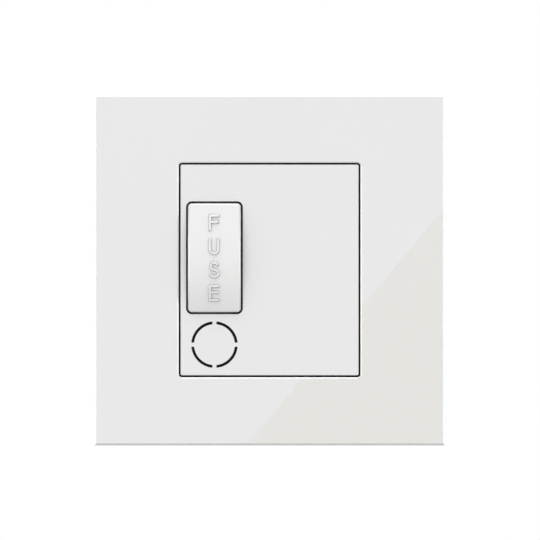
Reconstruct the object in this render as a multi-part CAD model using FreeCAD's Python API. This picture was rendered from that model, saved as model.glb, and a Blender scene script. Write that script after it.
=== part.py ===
"""A flush fused spur unit for a one-gang wall box, with a pull-out fuse carrier and a flex outlet.

A square gloss plate clips over a steel support frame. A matt centre plate sits in its opening, and
holds the fuse carrier's aperture and a knock-out for a flex. Behind them a dark front moulding and a
pale rear moulding clamp the steel frame between them, and hold the contacts, the terminals, the links
and the cord clamp. The carrier pulls straight out, with its cartridge fuse, until its lug meets a stop.

Frame: millimetres, +X to the right as the user sees it, +Y into the wall, +Z up. The origin is midway
between the two fixing slots, on the wall's surface.
"""

import FreeCAD
import Part
import os

# Square front plate. Its reach past the fixings sets its size.
FIXING_CENTRES = 60.3
PLATE_OVERHANG = 12.85
PLATE_SIZE = FIXING_CENTRES + 2 * PLATE_OVERHANG
PLATE_DEPTH = 9.0
PLATE_WALL = 2.0
PLATE_BEVEL = 0.5
PLATE_CORNER = 0.2
OPENING_FLARE = 0.3
OPENING_FLARE_DEPTH = 0.17
RIM_WALL = 1.8
PRY_NOTCH_WIDTH = 9.0
PRY_NOTCH_DEPTH = 1.0

# Centre plate, flush with the square plate and parted from it by a narrow gap.
MODULE_WIDTH = 43.64
MODULE_HEIGHT = 51.64
MODULE_CORNER = 0.4
MODULE_GAP = 0.46
MODULE_WALL = 1.8
MODULE_EDGE = 0.15
MODULE_LIP = 0.8
SKIRT_WALL = 1.2
SNAP_WIDTH = 6.0
SNAP_HEIGHT = 1.0
SNAP_BITE = 0.5

# Fuse carrier: a barrel-fronted drawer in an aperture near the centre plate's left edge.
CARRIER_END_ROOM = 0.65
CARRIER_JAW_ROOM = 0.55
CARRIER_CORNER = 0.95
CARRIER_GAP = 0.48
CARRIER_MARGIN = 1.35
CARRIER_Z = 3.0
CARRIER_PROUD = 0.8
CARRIER_BULGE = 2.2
CARRIER_EDGE = 0.6
CARRIER_SKIN = 1.8
CARRIER_SIDE = 1.2
CARRIER_LEG_HEIGHT = 10.0
CARRIER_TRAVEL = 15.0
LUG_BITE = 1.0
LUG_HEIGHT = 5.0
LUG_LENGTH = 1.6
STOP_WALL = 1.1
SADDLE_HEIGHT = 9.0
SADDLE_MOUTH = 5.2

# Collar round the carrier, and the rails in it that show in the carrier's gap.
COLLAR_WALL = 1.2
RAIL_THICKNESS = 0.32
RAIL_REACH = 11.4
LEFT_NOTCH = 10.4
DRIVER_NOTCH = 2.7
END_RAIL_WIDTH = 10.0

# Knock-out below the carrier, for the flex, and the bore behind it.
KNOCKOUT_RADIUS = 5.0
KNOCKOUT_SLOT = 0.7
KNOCKOUT_BRIDGE = 1.0
KNOCKOUT_MARGIN = 1.76
FLEX_LEDGE = 0.3
FLEX_POCKET_MARGIN = 0.5
FLEX_POCKET_DEPTH = 3.2

# Cartridge fuse of 1 inch by 1/4 inch.
FUSE_LENGTH = 25.4
FUSE_RADIUS = 3.175
FUSE_CAP_LENGTH = 5.6
FUSE_CAP_WALL = 0.2
FUSE_CAP_END = 0.35
FUSE_ROOM = 0.25

# Contacts, links and terminals.
STRIP = 0.8
STRIP_WIDTH = 4.8
STRIP_DEPTH = 2.0
JAW_SHEET = 0.6
JAW_LENGTH = 5.0
JAW_FLARE = 0.9
JAW_REACH = 3.0
TERMINAL_WIDTH = 6.2
TERMINAL_LENGTH = 7.2
TERMINAL_DEPTH = 9.0
TERMINAL_EDGE = 0.3
WIRE_RADIUS = 2.1
WIRE_SETBACK = 3.5
WIRE_ENTRY_RADIUS = 2.5
WIRE_ENTRY_FLARE = 0.4
DRIVER_LEAD_IN = 0.3
LOAD_ROW_DROP = 7.0
PARTITION = 1.4

# Screws.
TERMINAL_SCREW_RADIUS = 1.75
TERMINAL_HEAD_RADIUS = 2.6
TERMINAL_HEAD = 2.0
TERMINAL_SCREW_BACKED_OUT = 1.6
HOUSING_SCREW_RADIUS = 1.3
HOUSING_SCREW_LENGTH = 5.0
HOUSING_SCREW_INSET = 2.5
HEAD_MARGIN = 0.6
CLAMP_SCREW_RADIUS = 1.3
CLAMP_SCREW_LENGTH = 8.4
HEAD_RADIUS = 2.3
HEAD_HEIGHT = 1.6
DRIVER_SLOT = 0.7
DRIVER_SLOT_DEPTH = 0.8

# Steel support frame, clamped between the two mouldings.
STEEL = 1.0
STEEL_EAR = 7.85
STEEL_SIZE = FIXING_CENTRES + 2 * STEEL_EAR
STEEL_CORNER = 3.0
FIXING_SLOT_WIDTH = 4.2
FIXING_SLOT_LENGTH = 7.0
TAB_X = 15.0
TAB_WIDTH = 7.0
TAB_REACH = 4.0
TAB_STAND_OFF = 0.9
BEND_INSIDE = 0.35
WINDOW_WIDTH = 4.6
WINDOW_HEIGHT = 1.8
WINDOW_SETBACK = 1.2
HOOK_THICKNESS = 1.45
HOOK_BITE = 0.8
HOOK_TAIL = 0.6

# Front and rear mouldings.
BODY_CORNER = 1.2
TOWER_CORNER = 1.0
TOWER_EDGE = 0.4
FLANGE_OVERLAP = 2.0
FRONT_FLANGE = 1.8
REAR_FLANGE = 1.5
FLOOR = 3.2
BACK_WALL = 1.8
OUTER_WALL = 1.8
TOWER_DEPTH = 17.0
LUG_RELIEF = 15.0
POST_RADIUS = 1.7

# Cord clamp on the rear moulding's shelf, below the load terminals.
CLAMP_WIDTH = 6.4
CLAMP_THICKNESS = 2.4
CLAMP_GAP = 5.4
CLAMP_SCREW_SPACING = 12.0
CLAMP_OVERHANG = 2.1
CLAMP_ARCH = 0.9
CLAMP_CLEARANCE = 0.7
CLAMP_POST_RADIUS = 1.9
GRIP_RIB = 0.5
GRIP_RIB_WIDTH = 0.8

# Clearances.
SLIDE_FIT = 0.1
LOOSE_FIT = 0.3
SCREW_FIT = 0.05

# Planes that several pieces share, from the front face to the rear. Forward is -Y.
FACE_Y = -PLATE_DEPTH
LIP_Y = FACE_Y + MODULE_LIP
MODULE_BACK_Y = FACE_Y + MODULE_WALL
STEEL_Y = -STEEL
FLANGE_Y = STEEL_Y - FRONT_FLANGE
STRIP_Y = STRIP_DEPTH
CONTACT_Y = STRIP_Y + STRIP
FLOOR_BACK_Y = CONTACT_Y + BACK_WALL

# The carrier is as wide as the contacts and its side walls need, and as high as the fuse needs.
JAW_HALF = FUSE_RADIUS + SCREW_FIT + JAW_FLARE + JAW_SHEET
CARRIER_WIDTH = 2 * (JAW_HALF + CARRIER_JAW_ROOM + CARRIER_SIDE)
CARRIER_HEIGHT = FUSE_LENGTH + 2 * CARRIER_END_ROOM

# Carrier, aperture and knock-out places.
APERTURE_WIDTH = CARRIER_WIDTH + 2 * CARRIER_GAP
APERTURE_HEIGHT = CARRIER_HEIGHT + 2 * CARRIER_GAP
APERTURE_CORNER = CARRIER_CORNER + CARRIER_GAP
CARRIER_X = -MODULE_WIDTH / 2 + CARRIER_MARGIN + APERTURE_WIDTH / 2
CHAMBER_RIGHT = CARRIER_X + APERTURE_WIDTH / 2
CHAMBER_TOP = CARRIER_Z + APERTURE_HEIGHT / 2
CHAMBER_BOTTOM = CARRIER_Z - APERTURE_HEIGHT / 2
KNOCKOUT_OUTER = KNOCKOUT_RADIUS + KNOCKOUT_SLOT
KNOCKOUT_Z = CHAMBER_BOTTOM - KNOCKOUT_MARGIN - KNOCKOUT_OUTER
FLEX_RADIUS = KNOCKOUT_RADIUS - FLEX_LEDGE
FLEX_POCKET_BACK = MODULE_BACK_Y + FLEX_POCKET_DEPTH

# The fuse lies just behind the carrier's skin. The drawer's lug meets its stop at full travel.
CARRIER_END_Y = FACE_Y - CARRIER_PROUD
CARRIER_NOSE_Y = CARRIER_END_Y - CARRIER_BULGE
CARRIER_SEAT_Y = CARRIER_END_Y + CARRIER_SKIN + 2 * FUSE_ROOM
FUSE_Y = CARRIER_SEAT_Y + FUSE_ROOM + FUSE_RADIUS
FUSE_TUBE_RADIUS = FUSE_RADIUS - FUSE_CAP_WALL
STOP_Y = LIP_Y + STOP_WALL
LUG_FRONT_Y = STOP_Y + SLIDE_FIT + CARRIER_TRAVEL
LEG_END_Y = LUG_FRONT_Y + LUG_LENGTH
PIT_FLOOR_Y = LEG_END_Y + LOOSE_FIT
JAW_Z = FUSE_LENGTH / 2 - FUSE_CAP_LENGTH / 2

# Terminal columns run to the right of the fuse chamber, in two rows.
POCKET_WIDTH = TERMINAL_WIDTH + 2 * SLIDE_FIT
POCKET_LENGTH = TERMINAL_LENGTH + 2 * SLIDE_FIT
COLUMN_PITCH = POCKET_WIDTH + PARTITION
FIRST_COLUMN = CHAMBER_RIGHT + PARTITION + POCKET_WIDTH / 2
SUPPLY_Z = CHAMBER_TOP + PARTITION + POCKET_LENGTH / 2
LOAD_Z = CARRIER_Z - LOAD_ROW_DROP
WIRE_Y = CONTACT_Y + WIRE_SETBACK
TERMINAL_BACK_Y = CONTACT_Y + TERMINAL_DEPTH
SCREW_TIP_Y = WIRE_Y + WIRE_RADIUS + SLIDE_FIT
HEAD_SEAT_Y = TERMINAL_BACK_Y + TERMINAL_SCREW_BACKED_OUT
TERMINALS = {
    "live_supply": (CARRIER_X, SUPPLY_Z),
    "neutral_supply": (FIRST_COLUMN + COLUMN_PITCH, SUPPLY_Z),
    "earth_supply": (FIRST_COLUMN + 2 * COLUMN_PITCH, SUPPLY_Z),
    "live_load": (FIRST_COLUMN, LOAD_Z),
    "neutral_load": (FIRST_COLUMN + COLUMN_PITCH, LOAD_Z),
    "earth_load": (FIRST_COLUMN + 2 * COLUMN_PITCH, LOAD_Z),
}
TAIL_Z = LOAD_Z - TERMINAL_LENGTH / 2 + STRIP_WIDTH / 2

# Clamp: below the load tower, midway between its first two columns, so that their wires have a way in.
LOAD_TOWER_BOTTOM = LOAD_Z - POCKET_LENGTH / 2 - OUTER_WALL
CLAMP_LENGTH = CLAMP_SCREW_SPACING + 2 * CLAMP_OVERHANG
CLAMP_X = FIRST_COLUMN + COLUMN_PITCH / 2
CLAMP_Y = FLOOR + CLAMP_GAP
CLAMP_Z = LOAD_TOWER_BOTTOM - CLAMP_CLEARANCE - CLAMP_LENGTH / 2
CLAMP_BOTTOM = CLAMP_Z - CLAMP_LENGTH / 2

# The towers, the flex pocket and the clamp set the mouldings' size, with the housing screws outside them.
TOWER_RIGHT = FIRST_COLUMN + 2 * COLUMN_PITCH + POCKET_WIDTH / 2 + OUTER_WALL
TOWER_LEFT = CARRIER_X - POCKET_WIDTH / 2 - OUTER_WALL
TOWER_TOP = SUPPLY_Z + POCKET_LENGTH / 2 + OUTER_WALL
BODY_REACH = KNOCKOUT_OUTER + FLEX_POCKET_MARGIN + OUTER_WALL
HOUSING_SCREW_X = max(TOWER_RIGHT, -TOWER_LEFT) + HEAD_RADIUS + HEAD_MARGIN
BODY_WIDTH = 2 * (HOUSING_SCREW_X + HOUSING_SCREW_INSET)
BODY_HEIGHT = 2 * max(TOWER_TOP, BODY_REACH - KNOCKOUT_Z, HEAD_MARGIN - CLAMP_BOTTOM)

# Fastening of the square plate on the steel frame.
FRAME_SKIRT_HALF = MODULE_HEIGHT / 2 + MODULE_GAP + SKIRT_WALL
TAB_Z = max(FRAME_SKIRT_HALF, BODY_HEIGHT / 2 + FLANGE_OVERLAP) + TAB_STAND_OFF
WINDOW_Y = STEEL_Y - WINDOW_SETBACK


def vec(x, y, z):
    return FreeCAD.Vector(x, y, z)


def block(x0, x1, y0, y1, z0, z1):
    """A box between two values on each axis."""
    return Part.makeBox(x1 - x0, y1 - y0, z1 - z0, vec(x0, y0, z0))


def slab(width, height, y0, y1, corner=0.0, x=0.0, z=0.0):
    """A plate that faces the user, with its four corners rounded."""
    plate = block(x - width / 2, x + width / 2, y0, y1, z - height / 2, z + height / 2)
    if corner <= 0:
        return plate
    return plate.makeFillet(corner, [e for e in plate.Edges if runs_along_y(e)])


def disc(radius, y0, y1, x, z):
    """A cylinder whose axis runs into the wall."""
    return Part.makeCylinder(radius, y1 - y0, vec(x, y0, z), vec(0, 1, 0))


def upright(radius, z0, z1, x, y):
    """A cylinder whose axis is vertical."""
    return Part.makeCylinder(radius, z1 - z0, vec(x, y, z0), vec(0, 0, 1))


def runs_along_y(edge):
    box = edge.BoundBox
    return box.YLength > 1e-6 and box.XLength < 1e-6 and box.ZLength < 1e-6


def edges_at(shape, y):
    """The edges that lie in the plane at this depth."""
    return [e for e in shape.Edges if abs(e.BoundBox.YMin - y) < 1e-6 and abs(e.BoundBox.YMax - y) < 1e-6]


def joined(first, *others):
    return first.fuse(list(others)).removeSplitter()


def less(shape, *tools):
    return shape.cut(list(tools)).removeSplitter()


def mirrored_pair(shape, normal):
    """A piece and its mirror image in a plane through the origin."""
    return [shape, shape.mirror(vec(0, 0, 0), normal)]


def slotted_screw(x, z, tip, seat, radius, head_radius, head_height):
    """A screw along +Y with a cylindrical head at its rear and a driver slot across it."""
    top = seat + head_height
    head = disc(head_radius, seat, top, x, z)
    shank = disc(radius, tip, seat, x, z)
    slot = block(
        x - head_radius, x + head_radius, top - DRIVER_SLOT_DEPTH, top, z - DRIVER_SLOT / 2, z + DRIVER_SLOT / 2
    )
    return less(joined(head, shank), slot)


def square_plate():
    """The clip-on gloss plate: one shallow moulding with an opening, a skirt round it and four hooks."""
    outer = slab(PLATE_SIZE, PLATE_SIZE, FACE_Y, 0)
    outer = outer.makeChamfer(PLATE_BEVEL, edges_at(outer, FACE_Y))
    outer = outer.makeFillet(PLATE_CORNER, [e for e in outer.Edges if runs_along_y(e)])
    inside = PLATE_SIZE - 2 * RIM_WALL
    wall_back = FACE_Y + PLATE_WALL
    shell = less(outer, slab(inside, inside, wall_back, 0))

    skirt_back = skirt_end()
    opening = (MODULE_WIDTH + 2 * MODULE_GAP, MODULE_HEIGHT + 2 * MODULE_GAP)
    skirt = slab(opening[0] + 2 * SKIRT_WALL, opening[1] + 2 * SKIRT_WALL, wall_back, skirt_back)

    rib = block(-SKIRT_WALL / 2, SKIRT_WALL / 2, wall_back, skirt_back, opening[1] / 2, inside / 2)
    ribs = mirrored_pair(rib, vec(0, 0, 1))
    side_rib = block(opening[0] / 2, inside / 2, wall_back, skirt_back, -SKIRT_WALL / 2, SKIRT_WALL / 2)
    side_ribs = [s.translated(vec(0, 0, up)) for s in mirrored_pair(side_rib, vec(1, 0, 0)) for up in (-15, 15)]

    hooks = [h for x in (-TAB_X, TAB_X) for h in mirrored_pair(plate_hook(x, wall_back), vec(0, 0, 1))]
    plate = joined(shell, skirt, *ribs, *side_ribs, *hooks)
    hole = slab(*opening, FACE_Y, skirt_back, MODULE_CORNER + MODULE_GAP)
    pry = block(
        -PRY_NOTCH_WIDTH / 2, PRY_NOTCH_WIDTH / 2, -PRY_NOTCH_DEPTH, 0, -PLATE_SIZE / 2, -inside / 2
    )
    return less(plate, hole, opening_flare(*opening), pry)


def opening_flare(width, height):
    """The shallow bevel round the opening: its outline at the face is wider than the opening all round."""
    outlines = []
    for y, wider in ((FACE_Y, OPENING_FLARE), (FACE_Y + OPENING_FLARE_DEPTH, 0.0)):
        corner = MODULE_CORNER + MODULE_GAP + wider
        solid = slab(width + 2 * wider, height + 2 * wider, y, skirt_end(), corner)
        outlines.append(Part.Wire(Part.__sortEdges__(edges_at(solid, y))))
    return Part.makeLoft(outlines, True, True)


def skirt_end():
    """Where the skirt round the opening stops, just in front of the front moulding's flange."""
    return FLANGE_Y - LOOSE_FIT


def plate_hook(x, wall_back):
    """One hook above the opening: a leg beside a steel tab, with a wedge that enters the tab's window."""
    inner = TAB_Z + STEEL + SLIDE_FIT
    tail = WINDOW_Y + HOOK_TAIL
    leg = block(x - TAB_WIDTH / 2, x + TAB_WIDTH / 2, wall_back, tail, inner, inner + HOOK_THICKNESS)
    top, bottom = WINDOW_Y - WINDOW_HEIGHT + 2 * SLIDE_FIT, WINDOW_Y - SLIDE_FIT
    wedge_outline = [vec(x, top, inner), vec(x, top, inner - HOOK_BITE), vec(x, bottom, inner)]
    wedge = Part.Face(Part.makePolygon(wedge_outline + wedge_outline[:1]))
    half = WINDOW_WIDTH / 2 - SLIDE_FIT
    wedge = wedge.extrude(vec(2 * half, 0, 0)).translated(vec(-half, 0, 0))
    return joined(leg, wedge)


def support_frame():
    """The pressed steel frame: fixing slots, an opening for the mouldings and four folded tabs."""
    sheet = slab(STEEL_SIZE, STEEL_SIZE, STEEL_Y, 0, STEEL_CORNER)
    opening = slab(
        BODY_WIDTH + 2 * LOOSE_FIT, BODY_HEIGHT + 2 * LOOSE_FIT, STEEL_Y, 0, BODY_CORNER + LOOSE_FIT
    )
    slot_corner = FIXING_SLOT_WIDTH / 2
    half_run = FIXING_SLOT_LENGTH / 2 - slot_corner
    slot = joined(
        block(-half_run, half_run, STEEL_Y, 0, -slot_corner, slot_corner),
        disc(slot_corner, STEEL_Y, 0, -half_run, 0),
        disc(slot_corner, STEEL_Y, 0, half_run, 0),
    )
    slots = mirrored_pair(slot.translated(vec(FIXING_CENTRES / 2, 0, 0)), vec(1, 0, 0))
    tabs = [t for x in (-TAB_X, TAB_X) for t in mirrored_pair(steel_tab(x), vec(0, 0, 1))]
    lance = block(
        -TAB_WIDTH / 2, TAB_WIDTH / 2, STEEL_Y, 0, TAB_Z + STEEL, TAB_Z + STEEL + HOOK_THICKNESS + LOOSE_FIT
    )
    lances = [c for x in (-TAB_X, TAB_X) for c in mirrored_pair(lance.translated(vec(x, 0, 0)), vec(0, 0, 1))]
    pressed = less(joined(sheet, *tabs), opening, *slots, *lances)
    outside = [e for e in edges_at(pressed, 0) if abs(abs(e.BoundBox.Center.z) - TAB_Z - STEEL) < 1e-6]
    pressed = pressed.makeFillet(STEEL - BEND_INSIDE, outside)
    inside = [e for e in edges_at(pressed, STEEL_Y) if abs(abs(e.BoundBox.Center.z) - TAB_Z) < 1e-6]
    return pressed.makeFillet(BEND_INSIDE, inside)


def steel_tab(x):
    """One tab folded forward out of the sheet, with a window for a hook."""
    tab = block(x - TAB_WIDTH / 2, x + TAB_WIDTH / 2, STEEL_Y - TAB_REACH, STEEL_Y, TAB_Z, TAB_Z + STEEL)
    window = block(
        x - WINDOW_WIDTH / 2, x + WINDOW_WIDTH / 2, WINDOW_Y - WINDOW_HEIGHT, WINDOW_Y, TAB_Z, TAB_Z + STEEL
    )
    return less(tab, window)


def snap_wedges(grow):
    """The wedges on the centre plate's skirt, or the notches for them in the front moulding."""
    inner = MODULE_WIDTH / 2 - SKIRT_WALL
    reach = SNAP_BITE + grow
    deep = (MODULE_BACK_Y + FLANGE_Y) / 2
    wedge = block(
        inner - reach, inner + SKIRT_WALL / 2,
        deep - SNAP_HEIGHT / 2 - grow, deep + SNAP_HEIGHT / 2 + grow,
        KNOCKOUT_Z - SNAP_WIDTH / 2 - grow, KNOCKOUT_Z + SNAP_WIDTH / 2 + grow,
    )
    right = [wedge, wedge.translated(vec(0, 0, -2 * KNOCKOUT_Z))]
    left_low = wedge.mirror(vec(0, 0, 0), vec(1, 0, 0))
    return right + [left_low]


def centre_plate():
    """The matt centre plate with the carrier's aperture, the knock-out and a snap-on skirt."""
    face = slab(MODULE_WIDTH, MODULE_HEIGHT, FACE_Y, MODULE_BACK_Y, MODULE_CORNER)
    face = face.makeChamfer(MODULE_EDGE, edges_at(face, FACE_Y))
    skirt = slab(MODULE_WIDTH, MODULE_HEIGHT, MODULE_BACK_Y, FLANGE_Y, MODULE_CORNER)
    inside = slab(
        MODULE_WIDTH - 2 * SKIRT_WALL, MODULE_HEIGHT - 2 * SKIRT_WALL, MODULE_BACK_Y, FLANGE_Y
    )
    plate = joined(face, less(skirt, inside), *snap_wedges(0))

    aperture = slab(
        APERTURE_WIDTH, APERTURE_HEIGHT, FACE_Y, MODULE_BACK_Y, APERTURE_CORNER, CARRIER_X, CARRIER_Z
    )
    reach = APERTURE_HEIGHT / 2 + COLLAR_WALL + SLIDE_FIT
    collar_room = block(
        -MODULE_WIDTH / 2 - MODULE_GAP, CHAMBER_RIGHT + COLLAR_WALL + SLIDE_FIT,
        LIP_Y, FLANGE_Y, CARRIER_Z - reach, CARRIER_Z + reach,
    )
    return less(plate, aperture, collar_room, *knockout_slots())


def knockout_slots():
    """Four arc slots, parted by the bridges that hold the disc until it is knocked out."""
    ring = less(
        disc(KNOCKOUT_OUTER, FACE_Y, MODULE_BACK_Y, CARRIER_X, KNOCKOUT_Z),
        disc(KNOCKOUT_RADIUS, FACE_Y, MODULE_BACK_Y, CARRIER_X, KNOCKOUT_Z),
    )
    long_side = 2 * KNOCKOUT_OUTER
    bars = [
        slab(long_side, KNOCKOUT_BRIDGE, FACE_Y, MODULE_BACK_Y, 0, CARRIER_X, KNOCKOUT_Z),
        slab(KNOCKOUT_BRIDGE, long_side, FACE_Y, MODULE_BACK_Y, 0, CARRIER_X, KNOCKOUT_Z),
    ]
    return ring.cut(bars).Solids


def chamber_rails(y0, y1):
    """The thin rails on the chamber's walls that guide the carrier, with the left notch and the driver's."""
    left, right = CARRIER_X - APERTURE_WIDTH / 2, CHAMBER_RIGHT
    spans = [
        (left, left + RAIL_THICKNESS, LEFT_NOTCH / 2, RAIL_REACH),
        (left, left + RAIL_THICKNESS, -RAIL_REACH, -LEFT_NOTCH / 2),
        (right - RAIL_THICKNESS, right, DRIVER_NOTCH / 2, RAIL_REACH),
        (right - RAIL_THICKNESS, right, -RAIL_REACH, -DRIVER_NOTCH / 2),
    ]
    rails = [block(x0, x1, y0, y1, CARRIER_Z + z0, CARRIER_Z + z1) for x0, x1, z0, z1 in spans]
    half = END_RAIL_WIDTH / 2
    for z0 in (CHAMBER_BOTTOM, CHAMBER_TOP - RAIL_THICKNESS):
        rails.append(block(CARRIER_X - half, CARRIER_X + half, y0, y1, z0, z0 + RAIL_THICKNESS))
    return rails


def lug_groove(y0, y1):
    """The groove in the chamber's right wall that the carrier's lug runs in."""
    half = LUG_HEIGHT / 2 + LOOSE_FIT
    return block(
        CARRIER_X + CARRIER_WIDTH / 2 - SLIDE_FIT, CARRIER_X + CARRIER_WIDTH / 2 + LUG_BITE + LOOSE_FIT,
        y0, y1, CARRIER_Z - half, CARRIER_Z + half,
    )


def housing_screw_places():
    z = BODY_HEIGHT / 2 - HOUSING_SCREW_INSET
    return [(sx * HOUSING_SCREW_X, sz * z) for sx in (-1, 1) for sz in (-1, 1)]


def front_moulding():
    """The dark moulding behind the centre plate: collar, fuse chamber, flex pocket and hold-down posts."""
    neck = slab(BODY_WIDTH, BODY_HEIGHT, STEEL_Y, 0, BODY_CORNER)
    flange = slab(
        BODY_WIDTH + 2 * FLANGE_OVERLAP, BODY_HEIGHT + 2 * FLANGE_OVERLAP, FLANGE_Y, STEEL_Y, BODY_CORNER
    )
    inset = 2 * (SKIRT_WALL + SLIDE_FIT)
    raised = slab(MODULE_WIDTH - inset, MODULE_HEIGHT - inset, MODULE_BACK_Y, FLANGE_Y)
    raised = less(raised, *snap_wedges(SLIDE_FIT))
    collar = slab(
        APERTURE_WIDTH + 2 * COLLAR_WALL, APERTURE_HEIGHT + 2 * COLLAR_WALL, LIP_Y, FLANGE_Y,
        0, CARRIER_X, CARRIER_Z,
    )
    posts = [disc(POST_RADIUS, 0, STRIP_Y, x, z) for x, z in hold_down_places()]
    body = joined(neck, flange, raised, collar, *posts)

    chamber = slab(
        APERTURE_WIDTH, APERTURE_HEIGHT, LIP_Y, 0, APERTURE_CORNER, CARRIER_X, CARRIER_Z
    )
    body = joined(less(body, chamber), *chamber_rails(LIP_Y, 0))
    pocket_radius = KNOCKOUT_OUTER + FLEX_POCKET_MARGIN
    flex_pocket = disc(pocket_radius, MODULE_BACK_Y, FLEX_POCKET_BACK, CARRIER_X, KNOCKOUT_Z)
    flex_bore = disc(FLEX_RADIUS, FLEX_POCKET_BACK, 0, CARRIER_X, KNOCKOUT_Z)
    pilot_end = FLOOR - HOUSING_SCREW_LENGTH - LOOSE_FIT
    pilots = [
        disc(HOUSING_SCREW_RADIUS + SCREW_FIT, pilot_end, 0, x, z)
        for x, z in housing_screw_places()
    ]
    return less(body, lug_groove(STOP_Y, 0), flex_pocket, flex_bore, *pilots)


def hold_down_places():
    """Where the front moulding's posts press on the strips: under each terminal."""
    places = dict(TERMINALS)
    places["live_load"] = (TERMINALS["live_load"][0], TAIL_Z)
    return list(places.values())


def rear_moulding():
    """The pale moulding behind the wall: floor, chamber floor, two towers of terminal pockets and the shelf."""
    floor = slab(BODY_WIDTH, BODY_HEIGHT, 0, FLOOR, BODY_CORNER)
    flange = slab(
        BODY_WIDTH + 2 * FLANGE_OVERLAP, BODY_HEIGHT + 2 * FLANGE_OVERLAP, 0, REAR_FLANGE, BODY_CORNER
    )
    relief = block(
        BODY_WIDTH / 2, BODY_WIDTH / 2 + FLANGE_OVERLAP, 0, REAR_FLANGE, -LUG_RELIEF / 2, LUG_RELIEF / 2
    )
    flange = less(flange, *mirrored_pair(relief, vec(1, 0, 0)))

    solids = [flange, chamber_back(), pit_back(), *towers(), *link_ribs(), *clamp_posts(), *grip_ribs()]
    body = joined(floor, *solids)
    cuts = [chamber_room(), pit_room(), lug_groove(0, PIT_FLOOR_Y), *strip_channels()]
    cuts += [cut for name in TERMINALS for cut in terminal_room(name)]
    cuts.append(disc(FLEX_RADIUS, 0, FLOOR, CARRIER_X, KNOCKOUT_Z))
    cuts += [disc(HOUSING_SCREW_RADIUS + LOOSE_FIT, 0, FLOOR, x, z) for x, z in housing_screw_places()]
    cuts += [
        disc(CLAMP_SCREW_RADIUS + SCREW_FIT, CLAMP_Y - CLAMP_SCREW_LENGTH, CLAMP_Y, CLAMP_X, z)
        for z in clamp_screw_heights()
    ]
    return less(body, *cuts)


def chamber_back():
    left, right = CARRIER_X - APERTURE_WIDTH / 2, CHAMBER_RIGHT
    return rounded_block(
        left - PARTITION, right + PARTITION, FLOOR_BACK_Y, CHAMBER_BOTTOM - PARTITION, CHAMBER_TOP + PARTITION
    )


def chamber_room():
    return slab(APERTURE_WIDTH, APERTURE_HEIGHT, 0, CONTACT_Y, 0, CARRIER_X, CARRIER_Z)


def pit_back():
    """The deeper box between the two contacts that the carrier's legs slide into."""
    right = CARRIER_X + CARRIER_WIDTH / 2 + LUG_BITE + LOOSE_FIT + PARTITION
    half = CARRIER_LEG_HEIGHT / 2 + LOOSE_FIT + PARTITION
    return rounded_block(
        CARRIER_X - APERTURE_WIDTH / 2 - PARTITION, right,
        PIT_FLOOR_Y + BACK_WALL, CARRIER_Z - half, CARRIER_Z + half,
    )


def pit_room():
    half = CARRIER_LEG_HEIGHT / 2 + LOOSE_FIT
    return slab(APERTURE_WIDTH, 2 * half, 0, PIT_FLOOR_Y, 0, CARRIER_X, CARRIER_Z)


def towers():
    """The blocks that hold the supply terminals along the top and the load terminals in the middle."""
    half_length = POCKET_LENGTH / 2
    load_left = FIRST_COLUMN - POCKET_WIDTH / 2 - PARTITION
    return [
        rounded_block(TOWER_LEFT, TOWER_RIGHT, TOWER_DEPTH, SUPPLY_Z - half_length - PARTITION, TOWER_TOP),
        rounded_block(load_left, TOWER_RIGHT, TOWER_DEPTH, LOAD_TOWER_BOTTOM, LOAD_Z + half_length + PARTITION),
    ]


def rounded_block(x0, x1, depth, z0, z1):
    """A moulded box from the wall plane back, with round long corners and a bevelled rear rim."""
    solid = slab(x1 - x0, z1 - z0, 0, depth, TOWER_CORNER, (x0 + x1) / 2, (z0 + z1) / 2)
    return solid.makeChamfer(TOWER_EDGE, edges_at(solid, depth))


def link_ribs():
    """Ribs between the towers that cover the neutral and earth links."""
    half = STRIP_WIDTH / 2 + SLIDE_FIT + PARTITION
    return [
        block(x - half, x + half, 0, FLOOR_BACK_Y, LOAD_Z, SUPPLY_Z)
        for x in (TERMINALS["neutral_load"][0], TERMINALS["earth_load"][0])
    ]


def strip_channels():
    """Channels in the front of the rear moulding that take the flat strips."""
    half = STRIP_WIDTH / 2 + SLIDE_FIT
    low, high = LOAD_Z - TERMINAL_LENGTH / 2, SUPPLY_Z + TERMINAL_LENGTH / 2
    neutral_x, earth_x = TERMINALS["neutral_load"][0], TERMINALS["earth_load"][0]
    end = BODY_HEIGHT / 2 + FLANGE_OVERLAP
    return [
        block(neutral_x - half, neutral_x + half, 0, CONTACT_Y, low, high),
        block(earth_x - half, earth_x + half, 0, CONTACT_Y, low, BODY_HEIGHT / 2),
        block(earth_x - half, earth_x + half, 0, STRIP + SLIDE_FIT, BODY_HEIGHT / 2, end),
        block(CARRIER_X - half, CARRIER_X + half, 0, CONTACT_Y, CARRIER_Z, high),
        block(CARRIER_X, TERMINALS["live_load"][0], 0, CONTACT_Y, TAIL_Z - half, TAIL_Z + half),
    ]


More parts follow.
